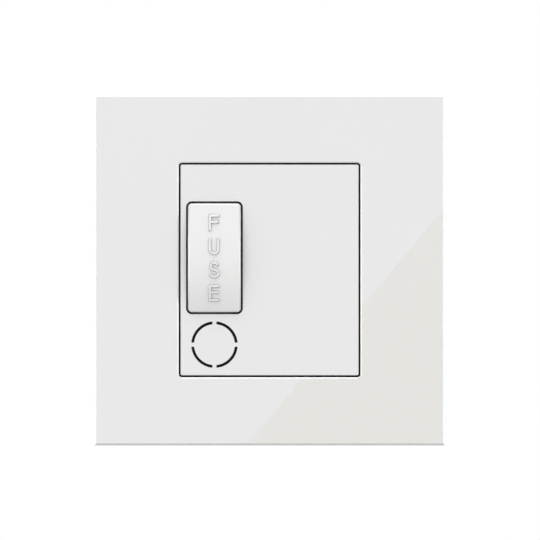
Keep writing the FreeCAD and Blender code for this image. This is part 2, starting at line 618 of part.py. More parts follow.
def terminal_room(name):
    """The pocket of one terminal, the hole to its screw and its wire's way in."""
    x, z = TERMINALS[name]
    pocket = slab(POCKET_WIDTH, POCKET_LENGTH, 0, TERMINAL_BACK_Y + SLIDE_FIT, 0, x, z)
    driver_hole = disc(TERMINAL_HEAD_RADIUS + LOOSE_FIT, TERMINAL_BACK_Y, TOWER_DEPTH, x, z)
    lead_in = Part.makeCone(
        TERMINAL_HEAD_RADIUS + LOOSE_FIT, TERMINAL_HEAD_RADIUS + LOOSE_FIT + DRIVER_LEAD_IN, DRIVER_LEAD_IN,
        vec(x, TOWER_DEPTH - DRIVER_LEAD_IN, z), vec(0, 1, 0),
    )
    mouth = POCKET_LENGTH / 2 + OUTER_WALL
    up = 1 if name.endswith("supply") else -1
    way = vec(0, 0, up)
    entry = Part.makeCylinder(WIRE_ENTRY_RADIUS, mouth, vec(x, WIRE_Y, z), way)
    flared = WIRE_ENTRY_RADIUS + WIRE_ENTRY_FLARE
    start = vec(x, WIRE_Y, z + up * (mouth - WIRE_ENTRY_FLARE))
    flare = Part.makeCone(WIRE_ENTRY_RADIUS, flared, WIRE_ENTRY_FLARE, start, way)
    return [pocket, driver_hole, lead_in, entry, flare]


def clamp_screw_heights():
    return [CLAMP_Z - CLAMP_SCREW_SPACING / 2, CLAMP_Z + CLAMP_SCREW_SPACING / 2]


def clamp_posts():
    return [disc(CLAMP_POST_RADIUS, 0, CLAMP_Y, CLAMP_X, z) for z in clamp_screw_heights()]


def grip_ribs():
    """Three low ribs across the flex, under the clamp."""
    length = CLAMP_SCREW_SPACING - 2 * CLAMP_POST_RADIUS - 2 * LOOSE_FIT
    return [
        slab(GRIP_RIB_WIDTH, length, FLOOR, FLOOR + GRIP_RIB, 0, CLAMP_X + shift, CLAMP_Z)
        for shift in (-2 * GRIP_RIB_WIDTH, 0, 2 * GRIP_RIB_WIDTH)
    ]


def cord_clamp():
    """A bar with a shallow arch under it, screwed down on two posts."""
    bar = slab(CLAMP_WIDTH, CLAMP_LENGTH, CLAMP_Y, CLAMP_Y + CLAMP_THICKNESS, 0, CLAMP_X, CLAMP_Z)
    ends = [e for e in bar.Edges if runs_along_y(e)]
    bar = bar.makeFillet(CLAMP_OVERHANG * 0.9, ends)
    half_span = CLAMP_SCREW_SPACING / 2 - CLAMP_POST_RADIUS
    radius = (half_span**2 + CLAMP_ARCH**2) / (2 * CLAMP_ARCH)
    start = vec(CLAMP_X - CLAMP_WIDTH / 2, CLAMP_Y - radius + CLAMP_ARCH, CLAMP_Z)
    arch = Part.makeCylinder(radius, CLAMP_WIDTH, start, vec(1, 0, 0))
    holes = [
        disc(CLAMP_SCREW_RADIUS + LOOSE_FIT, CLAMP_Y, CLAMP_Y + CLAMP_THICKNESS, CLAMP_X, z)
        for z in clamp_screw_heights()
    ]
    return less(bar, arch, *holes)


def clamp_screws():
    seat = CLAMP_Y + CLAMP_THICKNESS
    return [
        slotted_screw(CLAMP_X, z, seat - CLAMP_SCREW_LENGTH, seat, CLAMP_SCREW_RADIUS, HEAD_RADIUS, HEAD_HEIGHT)
        for z in clamp_screw_heights()
    ]


def housing_screws():
    return [
        slotted_screw(x, z, FLOOR - HOUSING_SCREW_LENGTH, FLOOR, HOUSING_SCREW_RADIUS, HEAD_RADIUS, HEAD_HEIGHT)
        for x, z in housing_screw_places()
    ]


def terminal_block(name):
    """A brass block with a wire bore across it and a threaded hole down to the bore."""
    x, z = TERMINALS[name]
    brass = slab(TERMINAL_WIDTH, TERMINAL_LENGTH, CONTACT_Y, TERMINAL_BACK_Y, 0, x, z)
    brass = brass.makeChamfer(TERMINAL_EDGE, edges_at(brass, TERMINAL_BACK_Y))
    wire_bore = upright(WIRE_RADIUS, z - TERMINAL_LENGTH / 2, z + TERMINAL_LENGTH / 2, x, WIRE_Y)
    screw_hole = disc(TERMINAL_SCREW_RADIUS + SCREW_FIT, WIRE_Y, TERMINAL_BACK_Y, x, z)
    return less(brass, wire_bore, screw_hole)


def terminal_screws():
    """The six terminal screws, backed out as supplied."""
    return [
        slotted_screw(
            x, z, SCREW_TIP_Y, HEAD_SEAT_Y, TERMINAL_SCREW_RADIUS, TERMINAL_HEAD_RADIUS, TERMINAL_HEAD
        )
        for x, z in TERMINALS.values()
    ]


def strip(x0, x1, z0, z1):
    return block(x0, x1, STRIP_Y, CONTACT_Y, z0, z1)


def spring_jaw(z):
    """A folded contact with two bowed legs that grip a fuse cap, round the carrier's own centre line."""
    nip = FUSE_RADIUS + SCREW_FIT
    root = nip + JAW_FLARE
    mouth_y = FUSE_Y - JAW_REACH
    low = z - JAW_LENGTH / 2
    inner = [vec(root, STRIP_Y, low), vec(nip, FUSE_Y, low), vec(root, mouth_y, low)]
    outer = [point + vec(JAW_SHEET, 0, 0) for point in inner]
    leg = bowed_strip(inner, outer).extrude(vec(0, 0, JAW_LENGTH))
    web = strip(-JAW_HALF, JAW_HALF, z - JAW_LENGTH / 2, z + JAW_LENGTH / 2)
    jaw = joined(web, *mirrored_pair(leg, vec(1, 0, 0)))
    return jaw.translated(vec(CARRIER_X, 0, 0))


def bowed_strip(inner, outer):
    """The section of a leg between two arcs, each through its root, its nip and its mouth."""
    edges = [
        Part.Arc(*inner).toShape(),
        Part.LineSegment(inner[-1], outer[-1]).toShape(),
        Part.Arc(*reversed(outer)).toShape(),
        Part.LineSegment(outer[0], inner[0]).toShape(),
    ]
    return Part.Face(Part.Wire(edges))


def live_supply_jaw():
    """The upper contact, with a tail that runs up to the live supply terminal."""
    half = STRIP_WIDTH / 2
    top = SUPPLY_Z + TERMINAL_LENGTH / 2 - SLIDE_FIT
    tail = strip(CARRIER_X - half, CARRIER_X + half, CARRIER_Z + JAW_Z, top)
    return joined(spring_jaw(CARRIER_Z + JAW_Z), tail)


def live_load_jaw():
    """The lower contact, with a tail that runs right to the live load terminal."""
    half = STRIP_WIDTH / 2
    right = TERMINALS["live_load"][0] + TERMINAL_WIDTH / 2 - 2 * SLIDE_FIT
    tail = strip(CARRIER_X, right, TAIL_Z - half, TAIL_Z + half)
    return joined(spring_jaw(CARRIER_Z - JAW_Z), tail)


def link(name, top):
    x = TERMINALS[name][0]
    half = STRIP_WIDTH / 2
    return strip(x - half, x + half, LOAD_Z - TERMINAL_LENGTH / 2 + SLIDE_FIT, top)


def neutral_link():
    return link("neutral_load", SUPPLY_Z + TERMINAL_LENGTH / 2 - SLIDE_FIT)


def earth_link():
    """The earth strip, stepped forward past the top terminal to lie on the back of the steel frame."""
    x, half = TERMINALS["earth_load"][0], STRIP_WIDTH / 2
    body_top = BODY_HEIGHT / 2 - SLIDE_FIT
    riser = block(x - half, x + half, 0, CONTACT_Y, body_top - STRIP, body_top)
    foot = block(x - half, x + half, 0, STRIP, body_top - STRIP, BODY_HEIGHT / 2 + FLANGE_OVERLAP - SLIDE_FIT)
    return joined(link("earth_load", body_top), riser, foot)


def fuse_tube():
    """The ceramic body of the cartridge fuse, which ends just inside its caps."""
    half = FUSE_LENGTH / 2 - FUSE_CAP_END
    return upright(FUSE_TUBE_RADIUS - SCREW_FIT, CARRIER_Z - half, CARRIER_Z + half, CARRIER_X, FUSE_Y)


def fuse_cap(side):
    """A plated cup on one end of the fuse, the upper with side 1 and the lower with side -1."""
    half = FUSE_LENGTH / 2
    cup = upright(FUSE_RADIUS, half - FUSE_CAP_LENGTH, half, CARRIER_X, FUSE_Y)
    rim = [e for e in cup.Edges if abs(e.BoundBox.ZMin - half) < 1e-6 and abs(e.BoundBox.ZMax - half) < 1e-6]
    cup = cup.makeChamfer(FUSE_CAP_END / 2, rim)
    hollow = upright(FUSE_TUBE_RADIUS, half - FUSE_CAP_LENGTH, half - FUSE_CAP_END, CARRIER_X, FUSE_Y)
    cap = less(cup, hollow)
    if side < 0:
        cap = cap.mirror(vec(0, 0, 0), vec(0, 0, 1))
    return cap.translated(vec(0, 0, CARRIER_Z))


def barrel(nose_y, width):
    """A cylinder across the carrier whose front is the carrier's bowed face, or one sunk below it."""
    half = CARRIER_HEIGHT / 2
    radius = (half**2 + CARRIER_BULGE**2) / (2 * CARRIER_BULGE) - (nose_y - CARRIER_NOSE_Y)
    start = vec(CARRIER_X - width / 2, nose_y + radius, CARRIER_Z)
    return Part.makeCylinder(radius, width, start, vec(1, 0, 0)), radius


def fuse_carrier():
    """The drawer: a bowed front with rounded edges, side walls, a saddle for the fuse and two legs."""
    bow, bow_radius = barrel(CARRIER_NOSE_Y, CARRIER_WIDTH)
    front = slab(
        CARRIER_WIDTH, CARRIER_HEIGHT, CARRIER_NOSE_Y, CARRIER_SEAT_Y, CARRIER_CORNER, CARRIER_X, CARRIER_Z
    ).common(bow)
    bowed = [
        f for f in front.Faces
        if isinstance(f.Surface, Part.Cylinder) and abs(f.Surface.Radius - bow_radius) < 1e-6
    ]
    front = front.makeFillet(CARRIER_EDGE, [e for f in bowed for e in f.OuterWire.Edges])

    side_back = FUSE_Y + FUSE_RADIUS / 2
    inner, outer = CARRIER_WIDTH / 2 - CARRIER_SIDE, CARRIER_WIDTH / 2
    half_height = CARRIER_HEIGHT / 2 - CARRIER_CORNER
    walls, legs = [], []
    for x0, x1 in ((-outer, -inner), (inner, outer)):
        x0, x1 = CARRIER_X + x0, CARRIER_X + x1
        walls.append(block(x0, x1, CARRIER_SEAT_Y, side_back, CARRIER_Z - half_height, CARRIER_Z + half_height))
        half = CARRIER_LEG_HEIGHT / 2
        legs.append(block(x0, x1, side_back, LEG_END_Y, CARRIER_Z - half, CARRIER_Z + half))
    lug = block(
        CARRIER_X + outer, CARRIER_X + outer + LUG_BITE,
        LUG_FRONT_Y, LEG_END_Y, CARRIER_Z - LUG_HEIGHT / 2, CARRIER_Z + LUG_HEIGHT / 2,
    )
    saddle = slab(2 * inner, SADDLE_HEIGHT, CARRIER_SEAT_Y, FUSE_Y + FUSE_RADIUS * 0.8, 0, CARRIER_X, CARRIER_Z)
    drawer = joined(front, *walls, saddle, *legs, lug)
    return less(drawer, *carrier_cores(inner), *saddle_hollow())


def carrier_cores(inner):
    """The two pockets that keep the bowed front to an even skin, above and below the saddle."""
    sunk, _ = barrel(CARRIER_NOSE_Y + CARRIER_SKIN, 2 * inner)
    end_wall = CARRIER_HEIGHT / 2 - CARRIER_SIDE
    cores = []
    for z0, z1 in ((SADDLE_HEIGHT / 2, end_wall), (-end_wall, -SADDLE_HEIGHT / 2)):
        room = block(
            CARRIER_X - inner, CARRIER_X + inner, CARRIER_NOSE_Y, CARRIER_SEAT_Y, CARRIER_Z + z0, CARRIER_Z + z1
        )
        cores.append(room.common(sunk))
    return cores


def saddle_hollow():
    """The round seat of the fuse and the narrower mouth that it is pressed in through."""
    half = SADDLE_HEIGHT / 2
    seat = upright(FUSE_TUBE_RADIUS, CARRIER_Z - half, CARRIER_Z + half, CARRIER_X, FUSE_Y)
    mouth = slab(SADDLE_MOUTH, SADDLE_HEIGHT, FUSE_Y, FUSE_Y + FUSE_RADIUS, 0, CARRIER_X, CARRIER_Z)
    return [seat, mouth]


def all_pieces():
    """Every piece by its name. A group of like screws is a list of solids."""
    pieces = {
        "square_plate": square_plate(),
        "centre_plate": centre_plate(),
        "support_frame": support_frame(),
        "front_moulding": front_moulding(),
        "rear_moulding": rear_moulding(),
        "fuse_carrier": fuse_carrier(),
        "fuse_tube": fuse_tube(),
        "fuse_cap_upper": fuse_cap(1),
        "fuse_cap_lower": fuse_cap(-1),
        "live_supply_jaw": live_supply_jaw(),
        "live_load_jaw": live_load_jaw(),
        "neutral_link": neutral_link(),
        "earth_link": earth_link(),
        "terminal_screws": terminal_screws(),
        "housing_screws": housing_screws(),
        "cord_clamp": cord_clamp(),
        "clamp_screws": clamp_screws(),
    }
    for name in TERMINALS:
        pieces[name + "_terminal"] = terminal_block(name)
    return pieces


def main():
    os.makedirs("parts", exist_ok=True)
    for name, piece in all_pieces().items():
        shape = Part.makeCompound(piece) if isinstance(piece, list) else piece
        shape.exportStep("parts/" + name + ".step")
        print(name, len(shape.Solids), "solid", round(shape.Volume, 1), "mm3", shape.isValid())


main()
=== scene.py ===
# %% [markdown]
# # A fused spur unit, dressed for its picture
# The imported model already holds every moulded, pressed and turned piece at its real size, so this
# notebook never moves or reshapes one. It adds the camera, the light, the finish of each surface and the
# raised word on the fuse carrier. Lengths are in metres: +X is right, +Y goes into the wall, +Z is up.

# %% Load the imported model
import math

import bpy
import numpy as np
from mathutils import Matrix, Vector


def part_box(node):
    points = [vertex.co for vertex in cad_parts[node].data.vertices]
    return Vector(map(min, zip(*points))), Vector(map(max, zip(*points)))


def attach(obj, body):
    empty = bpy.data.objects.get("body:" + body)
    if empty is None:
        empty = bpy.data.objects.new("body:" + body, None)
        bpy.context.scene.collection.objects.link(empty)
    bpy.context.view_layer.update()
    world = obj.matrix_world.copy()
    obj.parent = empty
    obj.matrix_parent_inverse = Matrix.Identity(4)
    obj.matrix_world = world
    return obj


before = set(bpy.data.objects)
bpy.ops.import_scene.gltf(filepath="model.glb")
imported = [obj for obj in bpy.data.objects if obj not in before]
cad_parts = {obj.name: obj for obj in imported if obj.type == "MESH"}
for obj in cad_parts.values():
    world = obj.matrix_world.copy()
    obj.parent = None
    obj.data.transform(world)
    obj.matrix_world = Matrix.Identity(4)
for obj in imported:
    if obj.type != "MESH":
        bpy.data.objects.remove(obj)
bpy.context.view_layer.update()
MM = 0.001
scene = bpy.context.scene
print("pieces in the model:", len(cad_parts))

# %% [markdown]
# ## The camera
# The photograph looks straight at the plate through a long lens: no side of the plate shows, and the
# fuse carrier, though it stands proud, hardly shifts. So the camera stands well back, and its lens is
# worked out from how much of the picture's width the plate fills. That needs no trial and error.

# %% Camera
PICTURE_PIXELS = 540.0
PLATE_PIXELS = 351.0
PLATE_LEFT_PIXEL = 94.1
CAMERA_DISTANCE = 1.2
SENSOR = 0.036

plate_low, plate_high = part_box("square_plate")
plate_width = plate_high.x - plate_low.x
face_y = plate_low.y
view_width = plate_width * PICTURE_PIXELS / PLATE_PIXELS
sideways = (PICTURE_PIXELS / 2 - PLATE_LEFT_PIXEL - PLATE_PIXELS / 2) * view_width / PICTURE_PIXELS

camera_data = bpy.data.cameras.new("front_camera")
camera_data.sensor_width = SENSOR / MM
camera_data.lens = SENSOR * CAMERA_DISTANCE / view_width / MM
camera = bpy.data.objects.new("front_camera", camera_data)
camera.location = (sideways, face_y - CAMERA_DISTANCE, 0.0)
camera.rotation_euler = (math.radians(90), 0.0, 0.0)
scene.collection.objects.link(camera)
scene.camera = camera
print("lens in millimetres:", round(camera_data.lens, 1))

# %% [markdown]
# ## Shader maths as plain Python
# A finish is a small web of nodes. Writing it as expressions, such as `0.4 + 0.1 * speckle`, is easier to
# read than node links, so one class wraps an output socket and turns the operators into Math nodes.
# Everything else, such as a noise or a ramp, comes from one method of the finish itself.


# %% Wrapped sockets
class Wire:
    """One output socket of a finish. Its operators add Math nodes, on either side of a number."""

    def __init__(self, finish, socket):
        self.finish = finish
        self.socket = socket

    def maths(self, operation, a, b):
        return self.finish.node("ShaderNodeMath", {"operation": operation}, {0: a, 1: b})

    def __add__(self, other):
        return self.maths("ADD", self, other)

    def __radd__(self, other):
        return self.maths("ADD", other, self)

    def __sub__(self, other):
        return self.maths("SUBTRACT", self, other)

    def __rsub__(self, other):
        return self.maths("SUBTRACT", other, self)

    def __mul__(self, other):
        return self.maths("MULTIPLY", self, other)

    def __rmul__(self, other):
        return self.maths("MULTIPLY", other, self)

    def largest(self, other):
        return self.maths("MAXIMUM", self, other)


# %% A finish and its nodes
class Finish:
    """A node tree that is built from values, wires and one method that adds any node."""

    def __init__(self, owner):
        owner.use_nodes = True
        self.tree = owner.node_tree
        self.tree.nodes.clear()

    def node(self, kind, settings=None, sockets=None, output=0):
        """Adds a node: first its settings, then a value or a link for each input socket that is named."""
        made = self.tree.nodes.new(kind)
        for name, value in (settings or {}).items():
            setattr(made, name, value)
        for name, value in (sockets or {}).items():
            if isinstance(name, str):
                socket = [s for s in made.inputs if s.name == name and s.enabled][0]
            else:
                socket = made.inputs[name]
            if isinstance(value, Wire):
                self.tree.links.new(value.socket, socket)
            else:
                socket.default_value = value
        if not len(made.outputs):
            return made
        if isinstance(output, str):
            return Wire(self, made.outputs[output])
        return Wire(self, [s for s in made.outputs if s.enabled][output])

    def place(self, stretch=(1, 1, 1)):
        """Object coordinates in metres. A stretch above 1 packs the pattern closer along that axis."""
        raw = self.node("ShaderNodeTexCoord", output="Object")
        return self.node("ShaderNodeMapping", None, {"Vector": raw, "Scale": stretch})

    def noise(self, size, detail=2.0, stretch=(1, 1, 1)):
        """A soft noise from 0 to 1 whose largest blotches are about size metres across."""
        sockets = {"Vector": self.place(stretch), "Scale": 1.0 / size, "Detail": detail}
        return self.node("ShaderNodeTexNoise", None, sockets)

    def grains(self, size):
        """Distance to the nearest of many scattered points, size metres apart: rounded grains."""
        sockets = {"Vector": self.place(), "Scale": 1.0 / size, "Smoothness": 0.6}
        return self.node("ShaderNodeTexVoronoi", {"feature": "SMOOTH_F1"}, sockets)

    def sharpen(self, wire, low, high):
        """Stretches the part of a wire between low and high to the range from 0 to 1."""
        sockets = {"Value": wire, "From Min": low, "From Max": high}
        return self.node("ShaderNodeMapRange", {"interpolation_type": "SMOOTHSTEP"}, sockets)

    def tint(self, factor, low, high):
        """The colour low where the factor is 0, the colour high where it is 1."""
        sockets = {"Factor": factor, "A": (*low, 1.0), "B": (*high, 1.0)}
        return self.node("ShaderNodeMix", {"data_type": "RGBA"}, sockets)

    def bump(self, height, strength, depth):
        """A small relief: height from 0 to 1 stands for depth metres."""
        sockets = {"Height": height, "Strength": strength, "Distance": depth}
        return self.node("ShaderNodeBump", None, sockets)


# %% One function that makes any material
def surface(name, colour, roughness, normal=None, **constants):
    """Makes a material. Colour, roughness and normal are functions of the finish, and the rest constants."""
    material = bpy.data.materials.new(name)
    finish = Finish(material)
    sockets = {label.replace("_", " "): value for label, value in constants.items()}
    sockets["Base Color"] = colour(finish)
    sockets["Roughness"] = roughness(finish)
    if normal:
        sockets["Normal"] = normal(finish)
    shader = finish.node("ShaderNodeBsdfPrincipled", None, sockets)
    finish.node("ShaderNodeOutputMaterial", None, {"Surface": shader})
    return material


def dress(slot, material):
    """Gives a material to every piece of the model whose record names this slot."""
    dressed = []
    for node_name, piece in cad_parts.items():
        for holder in piece.material_slots:
            if holder.material and holder.material.name.split(".")[0] == slot:
                holder.material = material
                dressed.append(node_name)
    print(slot, "on", dressed)


# %% [markdown]
# ## The studio
# The picture is a product cut-out on white. The world is white where the camera sees it, mid grey in
# mirrors and dim where it lights, so the background never washes out the plate. The dim light comes from
# all round, a little more from above, and so it fades softly beside each letter. Light goes straight to
# a surface and no further: white walls that lit one another would fill the narrow gaps and the shadows of
# the letters, and the picture keeps both dark.

# %% World
WORLD_LEVEL = 0.36
CEILING_SHARE = 0.4
MIRRORED_LEVEL = 0.45


def white_background():
    """A world that is white to the camera, mid grey in mirrors, and dim where it lights."""
    world = bpy.data.worlds.new("studio")
    scene.world = world
    finish = Finish(world)
    rays = finish.node("ShaderNodeLightPath").socket.node.outputs
    seen = Wire(finish, rays["Is Camera Ray"]).largest(Wire(finish, rays["Is Transmission Ray"]))
    mirrored = Wire(finish, rays["Is Glossy Ray"])
    toward = finish.node("ShaderNodeTexCoord", output="Generated")
    height = finish.node("ShaderNodeSeparateXYZ", None, {0: toward}, "Z")
    lighting = WORLD_LEVEL * (1.0 + CEILING_SHARE * height)
    level = lighting + (1.0 - lighting) * seen + (MIRRORED_LEVEL - lighting) * mirrored
    light = finish.node("ShaderNodeBackground", None, {"Color": (1, 1, 1, 1), "Strength": level})
    finish.node("ShaderNodeOutputWorld", None, {"Surface": light})


white_background()
scene.cycles.diffuse_bounces = 0
print("background levels: mirrored", MIRRORED_LEVEL, "lighting", WORLD_LEVEL)

# %% [markdown]
# ## Lamps
# All lamps stand two metres off, so the light falls off by hardly a level across the plate, as in the
# picture. A wide box in front, a little to the left, lights everything and shows in no mirror. A small
# one overhead grazes the face: it lifts the upper half of the bow and the upper flank of each letter, and
# lays a soft shadow under the carrier. Three more show only in mirrors, where they draw the bevels: white
# above, cream on the left, cool on the right. Two stand behind, for the views of the back.

# %% Soft boxes
LAMP_DISTANCE = 2.0


def soft_box(name, toward, width, height, watts, colour, mirrored=True, lights=True):
    """A rectangular lamp in the direction toward, turned so that it shines at the middle of the plate."""
    data = bpy.data.lights.new(name, "AREA")
    data.shape = "RECTANGLE"
    data.size, data.size_y = width, height
    data.energy = watts
    data.color = colour
    lamp = bpy.data.objects.new(name, data)
    aim = Vector((0.0, face_y, 0.0))
    lamp.location = aim + Vector(toward).normalized() * LAMP_DISTANCE
    lamp.rotation_euler = (aim - lamp.location).to_track_quat("-Z", "Y").to_euler()
    lamp.visible_glossy = mirrored
    lamp.visible_diffuse = lights
    scene.collection.objects.link(lamp)


soft_box("front_box", (-0.07, -1.0, 0.0), 3.2, 2.8, 38.4, (1.0, 1.0, 1.0), mirrored=False)
soft_box("overhead_box", (0.0, -0.45, 1.0), 1.0, 1.0, 7.0, (1.0, 1.0, 1.0), mirrored=False)
soft_box("top_box", (0.0, -0.35, 1.0), 1.0, 1.8, 25.0, (1.0, 1.0, 1.0), lights=False)
soft_box("left_box", (-1.0, -0.35, 0.0), 1.8, 0.9, 24.0, (1.0, 0.88, 0.68), lights=False)
soft_box("right_box", (1.0, -0.35, 0.0), 1.8, 0.9, 24.0, (0.76, 0.89, 1.0), lights=False)
soft_box("back_box", (0.6, 1.0, 0.8), 1.6, 1.6, 30.0, (1.0, 0.99, 0.97))
soft_box("back_fill", (-0.9, 1.0, -0.1), 1.6, 1.6, 9.0, (1.0, 1.0, 1.0))

# %% [markdown]
# ## The floor
# The floor is not in the picture's view, but other views show it, and the plate's lower bevel mirrors it,
# which is why that bevel is the dark one. It is a warm pale grey that neither lights the plate nor stands
# in the way of a lamp. Towards its rim it fades into the white background, by mixing its shader with a
# white that only the camera sees.

# %% Floor
FLOOR_DROP = 0.09
FLOOR_REACH = 0.4
FADE_START, FADE_END = 0.25 * FLOOR_REACH, 0.95 * FLOOR_REACH
FLOOR_COLOUR = (0.48, 0.44, 0.36)
FLOOR_AS_SEEN = (0.95, 0.94, 0.92)


def pale_floor():
    """A flat floor below the plate, short enough to stay out of the front view."""
    height = plate_low.z - FLOOR_DROP
    corners = [(-1, -1), (1, -1), (1, 1), (-1, 1)]
    mesh = bpy.data.meshes.new("floor")
    mesh.from_pydata([(x * FLOOR_REACH, y * FLOOR_REACH, height) for x, y in corners], [], [(0, 1, 2, 3)])
    floor = bpy.data.objects.new("floor", mesh)
    scene.collection.objects.link(floor)

    material = bpy.data.materials.new("pale_floor")
    finish = Finish(material)
    seen = finish.node("ShaderNodeLightPath", output="Is Camera Ray")
    colour = finish.tint(seen, FLOOR_COLOUR, FLOOR_AS_SEEN)
    shade = finish.node("ShaderNodeBsdfDiffuse", None, {"Color": colour})
    glow = finish.node("ShaderNodeEmission", None, {"Color": (1, 1, 1, 1), "Strength": 1.0})
    flat = finish.place((1, 1, 0))
    distance = finish.node("ShaderNodeVectorMath", {"operation": "LENGTH"}, {0: flat}, "Value")
    fade = finish.sharpen(distance, FADE_START, FADE_END) * seen
    mixed = finish.node("ShaderNodeMixShader", None, {0: fade, 1: shade, 2: glow})
    finish.node("ShaderNodeOutputMaterial", None, {"Surface": mixed})
    mesh.materials.append(material)
    floor.visible_diffuse = False
    floor.visible_shadow = False


pale_floor()

# %% [markdown]
# ## The reflection in the gloss plate
# The lower right of the plate mirrors something cream in the room, with one straight slanted edge, while
# the matt centre plate mirrors nothing. Painting that edge on the plate would be wrong: it would stay
# put from every side. So two cards stand in front of the plate and are seen only in reflections: a cream
# one with the slanted edge, and just behind it a white one, the window, that fills the rest. A point of
# the plate at X mirrors the card at X times (1 + card distance / camera distance).

# %% Cards
CARD_DISTANCE = 0.5
WINDOW_DISTANCE = 0.52
CARD_COLOUR = (0.66, 0.52, 0.06)
WINDOW_COLOUR = (1.0, 1.0, 1.0)
EDGE_TOP = (41.35 * MM, 13.5 * MM)
EDGE_BOTTOM = (-4.55 * MM, -41.7 * MM)
CARD_OVERHANG = 0.6
CARD_DEPTH = 1.6 * plate_width
WINDOW_HALF = 0.35


def mirrored_card(name, distance, corners, colour):
    """A flat glowing card in front of the plate that only reflections see. Corners are (x, z) pairs."""
    mesh = bpy.data.meshes.new(name)
    mesh.from_pydata([(x, face_y - distance, z) for x, z in corners], [], [(0, 1, 2, 3)])
    card = bpy.data.objects.new(name, mesh)
    scene.collection.objects.link(card)
    for kind in ("camera", "diffuse", "transmission", "shadow", "volume_scatter"):
        setattr(card, "visible_" + kind, False)
    material = bpy.data.materials.new(name)
    finish = Finish(material)
    glow = finish.node("ShaderNodeEmission", None, {"Color": (*colour, 1.0), "Strength": 1.0})
    finish.node("ShaderNodeOutputMaterial", None, {"Surface": glow})
    mesh.materials.append(material)


def slanted_corners():
    """The corners of a card whose upper left edge passes, in the mirror, through both points of the edge."""
    spread = 1.0 + CARD_DISTANCE / CAMERA_DISTANCE
    top, bottom = Vector(EDGE_TOP) * spread, Vector(EDGE_BOTTOM) * spread
    along = (top - bottom).normalized()
    across = Vector((along.y, -along.x)) * CARD_DEPTH
    overhang = along * CARD_OVERHANG * (top - bottom).length
    low, high = bottom - overhang, top + overhang
    return [tuple(p) for p in (low, high, high + across, low + across)]


mirrored_card("mirrored_card", CARD_DISTANCE, slanted_corners(), CARD_COLOUR)
square = [(x * WINDOW_HALF, z * WINDOW_HALF) for x, z in ((-1, -1), (1, -1), (1, 1), (-1, 1))]
mirrored_card("mirrored_window", WINDOW_DISTANCE, square, WINDOW_COLOUR)
print("slanted card:", [(round(x, 3), round(z, 3)) for x, z in slanted_corners()])

# %% [markdown]
# ## White plastics
# Three whites lie side by side in the picture, and only their gloss tells them apart. The square plate
# is polished in the mould, so it mirrors the room under a clear skin. The centre plate comes from a
# spark-eroded mould: tiny rounded pits, a fifth of a millimetre across, scatter the light. The carrier lies
# between them. Each colour drifts by less than a level, as a real moulding's does.

# %% White finishes
WHITE_DARK = (0.806, 0.805, 0.812)
WHITE_LIGHT = (0.820, 0.819, 0.826)

gloss_white = surface(
    "gloss_white",
    lambda f: f.tint(f.noise(0.03), WHITE_DARK, WHITE_LIGHT),
    lambda f: 0.008 + 0.008 * f.noise(0.012, 4.0),
    IOR=1.5,
    Coat_Weight=1.0,
    Coat_Roughness=0.01,
)

matt_white = surface(
    "matt_white",
    lambda f: f.tint(f.noise(0.02), (0.79, 0.789, 0.80), (0.802, 0.801, 0.812)),
    lambda f: 0.56 + 0.1 * f.noise(0.0009, 3.0),
    lambda f: f.bump(f.grains(0.00022), 0.35, 0.00002),
)

satin_white = surface(
    "satin_white",
    lambda f: f.tint(f.noise(0.01), (0.815, 0.815, 0.825), (0.827, 0.827, 0.837)),
    lambda f: 0.34 + 0.08 * f.noise(0.0012, 3.0),
    lambda f: f.bump(f.grains(0.0003), 0.15, 0.00001),
    Coat_Weight=1.0,
    Coat_Roughness=0.15,
)

for slot_name, finish_made in (
    ("gloss_white", gloss_white), ("matt_white", matt_white), ("satin_white", satin_white),
):
    dress(slot_name, finish_made)

# %% [markdown]
# ## Moulded bodies
# The two mouldings behind the face are plain working parts. The dark one shows as the black line round the
# carrier and in the ring. The pale one is what an electrician sees from the back: a mineral-filled resin
# with faint cloudy flow and specks of filler.

# %% Moulding finishes
def flow_clouds(finish, low, high):
    """Slow clouds, drawn out along the flow, with fine specks of filler on top."""
    clouds = finish.noise(0.009, 4.0, (1.0, 1.0, 0.35))
    specks = finish.sharpen(finish.noise(0.0005, 2.0), 0.62, 0.75)
    return finish.tint(clouds * 0.8 + specks * 0.2, low, high)


dark_moulding = surface(
    "dark_moulding",
    lambda f: flow_clouds(f, (0.030, 0.031, 0.034), (0.046, 0.046, 0.050)),
    lambda f: 0.42 + 0.16 * f.noise(0.0015, 3.0),
    lambda f: f.bump(f.grains(0.0004), 0.2, 0.00002),
)

pale_moulding = surface(
    "pale_moulding",
    lambda f: flow_clouds(f, (0.74, 0.72, 0.66), (0.80, 0.785, 0.735)),
    lambda f: 0.40 + 0.14 * f.noise(0.002, 3.0),
    lambda f: f.bump(f.grains(0.0005), 0.18, 0.00002),
)

ceramic = surface(
    "ceramic",
    lambda f: f.tint(f.sharpen(f.noise(0.0004, 3.0), 0.55, 0.8), (0.80, 0.775, 0.72), (0.62, 0.585, 0.52)),
    lambda f: 0.34 + 0.12 * f.noise(0.0008, 3.0),
    lambda f: f.bump(f.noise(0.0003, 3.0), 0.25, 0.00003),
    Coat_Weight=0.3,
    Coat_Roughness=0.2,
)

for slot_name, finish_made in (
    ("dark_moulding", dark_moulding), ("pale_moulding", pale_moulding), ("ceramic", ceramic),
):
    dress(slot_name, finish_made)

# %% [markdown]
# ## Metals
# Each metal keeps the marks of how it was made. Rolled zinced steel has long faint lines and soft cloudy
# crystals. Brass terminals are cut from drawn bar, so their lines run along the wire bore. Fuse caps
# are drawn cups with rings round them. Screws carry a thin passivated film that drifts from blue to straw.

# %% Metal finishes
def drawn_lines(finish, stretch):
    """Fine parallel lines: a noise that is stretched a hundredfold along the way the metal was drawn."""
    return finish.noise(0.012, 3.0, stretch)


ALONG_X = (0.6, 50.0, 50.0)
ALONG_Z = (50.0, 50.0, 0.6)
ROUND_Z = (0.6, 0.6, 70.0)

